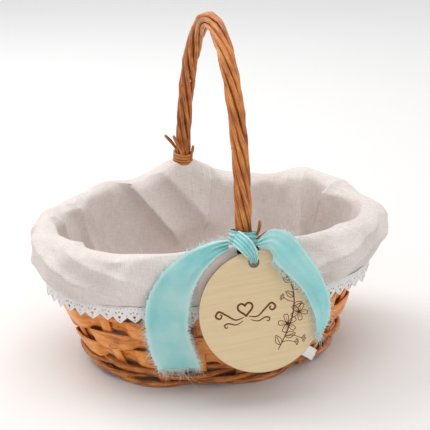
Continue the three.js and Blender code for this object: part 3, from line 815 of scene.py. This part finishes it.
tagJoint = next(joint for joint in frame["joints"] if joint["name"] == "tag_turn")
tag = dict(radius=50, thickness=3, holeRadius=4.2, inset=9, turn=6, chamfer=0.35)
tagHole = np.array(tagJoint["pos_m"]) / mm
tagFace = np.array(tagJoint["axis"]) / np.linalg.norm(tagJoint["axis"])
tagRight = unit(np.cross([0, 0, 1], tagFace))
tagUp = np.cross(tagFace, tagRight)


def onTag(right, up, out):
    # A point from the tag's hole: to the right, up, and out from its middle plane.
    right, up, out = np.broadcast_arrays(right, up, out)
    return tagHole + right[..., None] * tagRight + up[..., None] * tagUp + out[..., None] * tagFace


def fromMiddle(x, y, out):
    # A point of the disc by its own middle and its own upright, turned in its plane.
    turn = np.radians(tag["turn"])
    down = tag["radius"] - tag["inset"]
    y = y - down
    return onTag(x * np.cos(turn) - y * np.sin(turn), x * np.sin(turn) + y * np.cos(turn), out)


def addTag():
    # A ring surface between the hole's circle, 0, and the rim's circle, 1, with small chamfers.
    h, c = tag["thickness"] / 2, tag["chamfer"]
    gap = tag["radius"] - tag["holeRadius"]
    small = c / gap
    inner = [(0, -h + c), (0, h - c), (small, h)]
    flat = [(s, h) for s in np.linspace(small, 1 - small, 12)[1:-1]]
    outer = [(1 - small, h), (1, h - c), (1, -h + c), (1 - small, -h)]
    under = [(s, -h) for s in np.linspace(1 - small, small, 12)[1:-1]]
    share, out = np.array(inner + flat + outer + under + [(small, -h)]).T
    t = (np.arange(256) / 256 * 2 * pi)[:, None]
    holeMiddle = tag["radius"] - tag["inset"]
    x = (tag["holeRadius"] * (1 - share) + tag["radius"] * share) * np.cos(t)
    y = (tag["holeRadius"] * np.sin(t) + holeMiddle) * (1 - share) + tag["radius"] * np.sin(t) * share
    points = fromMiddle(x, y, out + 0 * x)
    uv = [np.pad(grid, ((0, 1), (0, 1)), mode="wrap") for grid in (x, y)]
    piece = outward(grow(points, name="tagDisc", finish=birch, closeRows=True, closeCols=True, uv=uv))
    side = np.where((share == 0) | (share == 1), 1.0, 0.0)[None, :] + 0 * x  # 1 on the burnt edges
    rim = piece.data.uv_layers.new(name="rim")
    index = np.empty(len(piece.data.loops), dtype=np.int64)
    piece.data.loops.foreach_get("vertex_index", index)
    burnt = side.ravel()[index]
    rim.data.foreach_set("uv", np.stack([burnt, 0 * burnt], 1).ravel().astype(np.float32))
    piece.data.shade_flat()
    finishPiece(piece, "tag", "plywood", "name_tag")


def turnedAt(x, y, px, py, angle):
    # Points (px, py) turned by an angle and moved to (x, y).
    return np.stack([x + px * np.cos(angle) - py * np.sin(angle),
                     y + px * np.sin(angle) + py * np.cos(angle)], -1)


class Engraving:
    # Burnt lines on the tag's face: each stroke is a flat ribbon of its own width.
    def __init__(self):
        self.points, self.faces, self.count = [], [], 0

    def stroke(self, path, width=0.55, taper=0.0):
        path = np.asarray(path, float)
        run = unit(np.gradient(path, axis=0))
        across = np.stack([-run[:, 1], run[:, 0]], 1)
        t = np.linspace(0, 1, len(path))
        half = (width * 0.75) * (1 - taper * abs(2 * t - 1) ** 2)
        both = np.stack([path + across * half[:, None], path - across * half[:, None]], 1).reshape(-1, 2)
        k = np.arange(len(path) - 1) * 2 + self.count
        self.faces.append(np.stack([k, k + 1, k + 3, k + 2], 1))
        self.points.append(both)
        self.count += len(both)

    def curve(self, stations, width=0.6, taper=0.5, count=40):
        self.stroke(through(stations, count), width, taper)

    def loop(self, x, y, radius, width=0.4):
        t = np.linspace(0, 2 * pi, 36)
        self.stroke(np.stack([x + radius * np.cos(t), y + radius * np.sin(t)], 1), width)

    def leaf(self, x, y, angle, length, fat=0.28, width=0.4):
        # Two bowed edges and a midrib from the leaf's foot to its tip.
        t = np.linspace(0, 1, 22)
        bow = np.sin(pi * t ** 0.8) * fat * length
        for side in (1, -1, 0):
            self.stroke(turnedAt(x, y, t * length * (1 if side else 0.8), side * bow, angle), width)

    def flower(self, x, y, size, turn):
        # Five petals, each a notched loop, round a small eye.
        t = np.linspace(0, 1, 30)
        for k in range(5):
            angle = turn + k * 2 * pi / 5
            reach = size * np.sin(pi * t) ** 0.8 * (1 - 0.12 * bell(t, 0.5, 0.08))
            swing = (t - 0.5) * 1.15
            self.stroke(turnedAt(x, y, reach, 0, angle + swing), 0.4)
            self.stroke(turnedAt(x, y, size * np.linspace(0.15, 0.6, 6), 0, angle), 0.25)
        self.loop(x, y, size * 0.13, 0.5)

    def berries(self, x, y, angle, length):
        # A bent stalk that ends in three short ones, each with a berry.
        fork = turnedAt(x, y, length, 0, angle)
        self.curve([(x, y), turnedAt(x, y, 0.5 * length, 0, angle + 0.2), fork], 0.4, 0.3, 14)
        for side in (-0.7, 0, 0.7):
            self.stroke(np.linspace(fork, turnedAt(*fork, 2.4, 0, angle + side), 5), 0.3)
            self.loop(*turnedAt(*fork, 2.4 + 0.7, 0, angle + side), 0.7, 0.35)

    def make(self):
        flat = np.concatenate(self.points)
        points = fromMiddle(flat[:, 0], flat[:, 1], tag["thickness"] / 2 + 0.06)
        mesh = bpy.data.meshes.new("burntLines")
        mesh.from_pydata((points * mm).tolist(), [], np.concatenate(self.faces).tolist())
        if mesh.polygons[0].normal.dot(tagFace) < 0:
            mesh.flip_normals()
        return addObject(mesh, "burntLines", burntBrown)


def engraveTag():
    # A heart between two scrolls on the left, and a sprig of leaves, flowers and berries on the right.
    e = Engraving()
    t = np.linspace(0, 2 * pi, 60)
    heart = np.stack([16 * np.sin(t) ** 3,
                      13 * np.cos(t) - 5 * np.cos(2 * t) - 2 * np.cos(3 * t) - np.cos(4 * t)], 1)
    e.stroke(heart * 0.38 + (-12, 5), 1.1, 0.0)
    for side in (-1, 1):
        scroll = [(2, -2.5), (9, -3.6), (16, 1.5), (21.5, 5.2), (24.5, 1.8), (21.6, -0.6),
                  (19.6, 1.6), (21.2, 2.8)]
        e.curve([(-12 + side * x, 1 + y) for x, y in scroll], 1.1, 0.55, 70)
        low = [(3, -5.5), (9, -7.6), (15, -5.6), (18.5, -6.6), (17.4, -9.0), (15.6, -8.0)]
        e.curve([(-12 + side * x, 1 + y) for x, y in low], 0.8, 0.6, 50)
    stem = [(10, -33), (15, -26), (20, -18), (25, -8), (28, 3), (28.5, 13), (26.5, 22), (22, 30)]
    e.curve(stem, 0.7, 0.4, 90)
    for leaf in ((12.5, -29.5, 1.9, 9), (17, -23, 0.1, 9), (28.2, 8, 2.4, 8), (28.4, 14, 0.5, 8),
                 (27, 20.5, 2.5, 7), (25, 25, 0.7, 7), (22, 30, 1.9, 6), (27.2, 0, 0.3, 8)):
        e.leaf(*leaf)
    e.flower(20.5, -13, 8.4, 0.4)
    e.flower(31, -5, 7.8, 1.0)
    for sprig in ((17.5, -23, -0.3, 13), (27.6, 4, 2.6, 8), (14, -27.5, -0.15, 10)):
        e.berries(*sprig)
    finishPiece(e.make(), "tag", "plywood")


birch = plyFinish()
burntBrown = plainFinish("burntBrown", colour(122, 60, 14), 0.8, 2500.0, 0.45)
addTag()
engraveTag()
print("tag cut and engraved")


mint = chiffonFinish("mintChiffon", colour(196, 238, 237), colour(146, 219, 220), colour(232, 248, 246))
mintThread = plainFinish("mintThread", colour(222, 243, 241), 0.8)
ribbon = dict(strandThickness=0.45, tailThickness=0.35)


def band(name, stations, count, across, pleats, pleatCount, fade, seed, ragged=1.0, cup=0.0):
    # A strip of cloth: its middle line and its width direction pass through the stations, which
    # hold a point, a width direction and a half width. Pleats are waves across it that die out.
    line = through([[*p, *w, h] for p, w, h in stations], count)
    middle, wide, half = line[:, :3], unit(line[:, 3:6]), line[:, 6]
    run = unit(np.gradient(middle, axis=0))
    out = unit(np.cross(run, wide))
    s = np.linspace(-1, 1, across)[None, :]
    t = np.linspace(0, 1, count)[:, None]
    rng = np.random.default_rng(seed)
    edge = 1 + ragged * 0.03 * (abs(s) > 0.96) * rng.normal(size=(count, 1))
    lift = pleats * np.exp(-t / fade) * np.cos(pleatCount * pi * (s + 0.12 * np.sin(3 * t)))
    lift = lift + cup * (1 - s ** 2) + 0.5 * wrinkles(t * 0.5, s * 0.5, (4, 2.5), seed + 1)
    x = s * half[:, None] * edge
    points = middle[:, None, :] + wide[:, None, :] * x[..., None] + out[:, None, :] * lift[..., None]
    uv = np.meshgrid(lengthsAlong(middle), s, indexing="ij")
    return grow(points, name=name, finish=mint, uv=uv), points


fray = dict(spread=0.6, curl=0.35, droop=0.15, radius=0.17)


def threads(name, roots, directions, count, length, seed, lift):
    # Loose threads: from random places along an edge, each a thin three-sided stalk of 5 rings.
    rng = np.random.default_rng(seed)
    pick = rng.uniform(0, len(roots) - 1.001, count)
    k, f = pick.astype(int), (pick % 1)[:, None]
    root = roots[k] * (1 - f) + roots[k + 1] * f
    aim = unit(directions[k] + fray["spread"] * rng.normal(size=(count, 3)) * [1, 0.4, 1])
    bend = fray["curl"] * rng.normal(size=(count, 3)) * [1, 0.4, 1] + [0, 0, -fray["droop"]] + lift
    size = length * rng.uniform(0.35, 1.0, count) * (1 + 1.2 * (rng.uniform(size=count) > 0.94))
    t = np.linspace(0, 1, 5)[:, None]
    path = root[:, None] + (aim[:, None] * t + bend[:, None] * t ** 2) * size[:, None, None]
    turn = np.arange(3)[:, None] / 3 * 2 * pi
    first = unit(np.cross(aim, [0, 1, 0.3]))
    second = np.cross(aim, first)
    ring = first[:, None, None] * np.cos(turn) + second[:, None, None] * np.sin(turn)
    tube = path[:, :, None] + ring * (fray["radius"] * (1 - 0.6 * t))[:, :, None]
    base = (np.arange(count) * 15)[:, None, None]
    i, j = np.arange(4)[None, :, None], np.arange(3)[None, None, :]
    quads = np.stack([base + i * 3 + j, base + i * 3 + (j + 1) % 3,
                      base + (i + 1) * 3 + (j + 1) % 3, base + (i + 1) * 3 + j], -1).reshape(-1, 4)
    ends = base[:, 0, 0]
    caps = np.concatenate([np.stack([ends + n for n in corners], 1) for corners in ((2, 1, 0), (12, 13, 14))])
    mesh = bpy.data.meshes.new(name)
    mesh.from_pydata((tube.reshape(-1, 3) * mm).tolist(), [], quads.tolist() + caps.tolist())
    mesh.shade_smooth()
    return addObject(mesh, name, mintThread)


def edgeOf(points, column, sign):
    # A side edge of a band and its outward directions, for loose threads.
    return points[:, column], unit(points[:, column] - points[:, column - sign])


wrap = dict(middle=133.5, radius=10.4, halfHeight=6.6, bulge=1.6, thickness=0.5)


def wrapHandle():
    # A gathered band round the foot of the handle: pleats run round it, deeper in front.
    steps, rows = 120, 40
    t = (np.arange(steps) / steps * 2 * pi)[:, None]
    v = np.linspace(-1, 1, rows)[None, :]
    middle = arch(archAt(wrap["middle"]))[0]
    pleat = 0.75 * np.cos(v * 4.2 * pi + 1.1 * np.sin(t)) + 0.35 * np.cos(v * 9 * pi + 2 * np.cos(t))
    radius = wrap["radius"] + wrap["bulge"] * (1 - v ** 2) + pleat
    z = middle[2] + v * (wrap["halfHeight"] + 1.6 * np.cos(t + 2.0)) + 1.5 * np.cos(t + 2.6)
    points = np.stack([middle[0] + radius * np.cos(t), middle[1] + radius * np.sin(t) * 1.02, z], -1)
    uv = np.meshgrid(np.arange(steps + 1) / steps * 65, v * 0.5, indexing="ij")
    piece = grow(points, name="ribbonWrap", finish=mint, closeRows=True, uv=uv)
    thicken(piece, wrap["thickness"], -1.0)
    finishPiece(piece, "basket", "chiffon", "ribbon_wrap")


tagStrand = dict(pleats=0.75, pleatCount=4.5, fade=5.0, seed=70, ragged=0.0)


def hangTag():
    # The gathered band that runs from the wrap down through the tag's hole and up behind it.
    stations = [(onTag(-13, 20, -4), tagUp * 0.9 + tagRight * 0.5, 6.0),
                (onTag(-8, 15.5, 4.5), tagUp * 0.7 + tagRight * 0.7, 6.2),
                (onTag(-3, 9, 6.0), tagRight * 0.8 + tagUp * 0.45, 5.4),
                (onTag(-0.6, 3.6, 4.2), tagRight, 3.6), (onTag(0, 0.6, 1.2), tagRight, 3.0),
                (onTag(0, 0.2, -1.2), tagRight, 3.0), (onTag(0, 4, -3.0), tagRight, 3.2),
                (onTag(0, 10, -3.2), tagRight, 4.0)]
    piece, _ = band("ribbonStrand", stations, 90, 40, **tagStrand)
    thicken(piece, ribbon["strandThickness"])
    tuple(onTag(-11, 18, 0) * mm)
    tuple(onTag(-4, 10, 0) * mm)
    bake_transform(piece)
    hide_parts("ribbon_strand")


leftTail = dict(pleats=1.6, pleatCount=3.5, fade=0.22, seed=80, cup=0.6)


def hangLeftTail():
    # The long tail leaves the knot, spreads over the turned-down lining and hangs behind the tag.
    def at(angle, rise, offset, half, tilt):  # by the rim's height, the width tilted from level
        z = wall["height"] + rise
        middle, out = wallFrame(angle, z, offset)
        tilt = np.radians(tilt)
        return middle, np.array([-out[1] * np.cos(tilt), out[0] * np.cos(tilt), np.sin(tilt)]), half

    stations = [at(-1.68, 15.5, 6, 4, 90), at(-1.77, 13.5, 11.2, 7, 100),
                at(-1.88, 3.5, 12.9, 11.5, 122), at(-1.975, -14, 13.9, 15.5, 145),
                at(-2.03, -34, 13.9, 17.5, 165), at(-2.05, -54, 14.3, 17.5, 176),
                at(-2.04, -73, 15, 17.5, 184), at(-2.015, -91, 16, 17.5, 184)]
    piece, points = band("ribbonTailLeft", stations, 150, 60, **leftTail)
    thicken(piece, ribbon["tailThickness"])
    finishPiece(piece, "basket", "chiffon", "ribbon_tail_left")
    edges = [(*edgeOf(points, -1, 1), 330, 4.6), (*edgeOf(points[62:], 0, -1), 280, 4.6),
             (points[-1], unit(points[-1] - points[-4]), 240, 8)]  # side, side below the lip, foot
    for number, (root, aim, count, length) in enumerate(edges):
        fringe = threads(f"leftFray{number + 1}", root, aim, count, length, 90 + number, -0.3 * tagFace)
        finishPiece(fringe, "basket", "chiffon")


rightTail = dict(pleats=1.3, pleatCount=3.5, fade=0.25, seed=100, cup=1.5)


def hangRightTail():
    # The short tail lies over the lip and hangs in front of the tag's edge.
    def at(right, up, out, half, tilt):
        tilt = np.radians(tilt)
        return onTag(right, up, out), tagRight * np.cos(tilt) + tagUp * np.sin(tilt), half

    stations = [at(4, 15, 3, 3.0, 92), at(8, 17, 5, 5.5, 92), at(14, 17.5, 7.5, 9.5, 84),
                at(22.5, 11, 8.5, 13, 60), at(33.5, -2, 8, 11.5, 45), at(45, -18, 7, 9.5, 30),
                at(52, -34, 6, 8, 18), at(54, -49, 5.5, 5.5, 8), at(51, -61, 5.5, 2.4, 5)]
    piece, points = band("ribbonTailRight", stations, 130, 50, **rightTail)
    thicken(piece, ribbon["tailThickness"])
    start, end = tuple(onTag(0, 16, 0) * mm), tuple(onTag(14, 4, 0) * mm)
    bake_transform(piece)
    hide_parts("ribbon_tail_right")
    lower = points[40:]
    edges = [(*edgeOf(lower, -1, 1), 260, 4.0), (*edgeOf(lower, 0, -1), 330, 5.0),
             (points[-1], unit(points[-1] - points[-4]), 70, 8)]
    for number, (root, aim, count, length) in enumerate(edges):
        fringe = threads(f"rightFray{number + 1}", root, aim, count, length, 110 + number, 0.55 * tagFace)
        finishPiece(fringe, "tag_hanger", "chiffon")


tie = dict(halfWidth=5.1, length=98, thickness=0.5, curl=0.3)


def addTie():
    # The loose end of a white tape: its width square to its run, with a slight wave across it.
    stations = []
    for angle, z, offset in ((-1.66, 74, 7.2), (-1.61, 62, 8.6), (-1.54, 50, 9.2), (-1.43, 41, 9.2),
                             (-1.31, 35, 9.2), (-1.20, 29.5, 9.5), (-1.09, 22, 10.6), (-0.985, 13.5, 12.5)):
        middle, out = wallFrame(angle, z, offset)
        stations.append([*middle, -0.5 * out[1], 0.5 * out[0], 1.0])
    line = through(stations, 60)
    middle, wide = line[:, :3], unit(line[:, 3:])
    run = unit(np.gradient(middle, axis=0))
    wide = unit(wide - (wide * run).sum(1, keepdims=True) * run)
    s = np.linspace(-1, 1, 9)[:, None]
    points = middle[:, None] + wide[:, None] * s * tie["halfWidth"]
    points += np.cross(run, wide)[:, None] * tie["curl"] * np.cos(6 * s)
    uv = np.meshgrid(np.linspace(0, tie["length"], len(line)), s * 4, indexing="ij")
    piece = grow(points, name="tapeEnd", finish=tape, uv=uv)
    thicken(piece, tie["thickness"])
    finishPiece(piece, "basket", "cotton_tape", "lining_tie")


tape = plainFinish("whiteTape", colour(244, 243, 241), 0.85, 1400.0, 0.06)
wrapHandle()
hangTag()
hangLeftTail()
hangRightTail()
addTie()
print("ribbon and tape tied")


# the hoops, the base and the handle's core keep their own shape
for name, part in nodes.items():
    if name.startswith(("rim_hoop", "base_slat", "handle_core")):
        part.data.materials.clear()
        part.data.materials.append(plainSplint)
